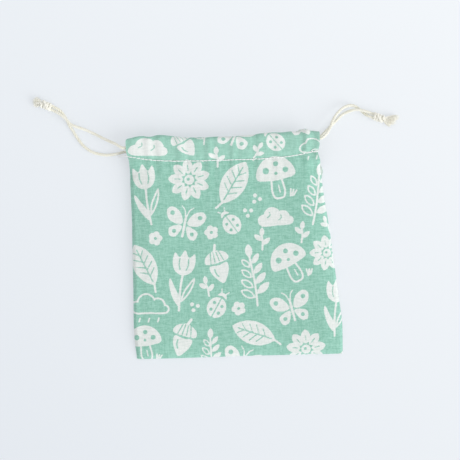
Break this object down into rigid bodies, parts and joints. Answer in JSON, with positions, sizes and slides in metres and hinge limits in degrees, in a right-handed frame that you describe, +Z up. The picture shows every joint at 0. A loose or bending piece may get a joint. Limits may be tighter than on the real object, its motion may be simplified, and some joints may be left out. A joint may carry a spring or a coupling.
{
  "type": "drawstring bag",
  "caption": "Small flat cotton drawstring bag with a printed cloth body, a cord tunnel along its mouth, and a knotted cord leaving each side slit.",
  "frame": {"origin": "on the table, under the middle of the cloth's box; the cords are left out", "axes": "+Z up from the table that the bag lies on, +Y from the bottom seam to the mouth, +X to the right seen from above"},
  "size_m": [0.2486, 0.1807, 0.0118],
  "materials": {
    "printed_cloth": "mint green print on off-white cotton linen weave",
    "cotton_cord": "cream twisted cotton cord",
    "white_thread": "white sewing thread"
  },
  "bodies": {
    "bag": {"front_panel": "printed_cloth", "back_panel": "printed_cloth", "front_facing": "printed_cloth", "back_facing": "printed_cloth", "left_side_seam": "printed_cloth", "right_side_seam": "printed_cloth", "bottom_seam": "printed_cloth", "front_tunnel_stitching": "white_thread", "back_tunnel_stitching": "white_thread"},
    "left_drawcord": {"left_cord_tunnel_run": "cotton_cord", "left_cord_upper_strand": "cotton_cord", "left_cord_lower_strand": "cotton_cord", "left_cord_knot": "cotton_cord", "left_cord_frayed_ends": "cotton_cord"},
    "right_drawcord": {"right_cord_tunnel_run": "cotton_cord", "right_cord_upper_strand": "cotton_cord", "right_cord_lower_strand": "cotton_cord", "right_cord_knot": "cotton_cord", "right_cord_frayed_ends": "cotton_cord"}
  },
  "joints": [
    {"name": "left_drawcord_pull", "type": "slide", "parent": "bag", "child": "left_drawcord", "axis": [-1, 0, 0], "range_m": [0, 0.042], "deforming": ["front_panel", "back_panel", "front_facing", "back_facing", "front_tunnel_stitching", "back_tunnel_stitching", "right_side_seam"]},
    {"name": "right_drawcord_pull", "type": "slide", "parent": "bag", "child": "right_drawcord", "axis": [1, 0, 0], "range_m": [0, 0.042], "deforming": ["front_panel", "back_panel", "front_facing", "back_facing", "front_tunnel_stitching", "back_tunnel_stitching", "left_side_seam"]}
  ]
}
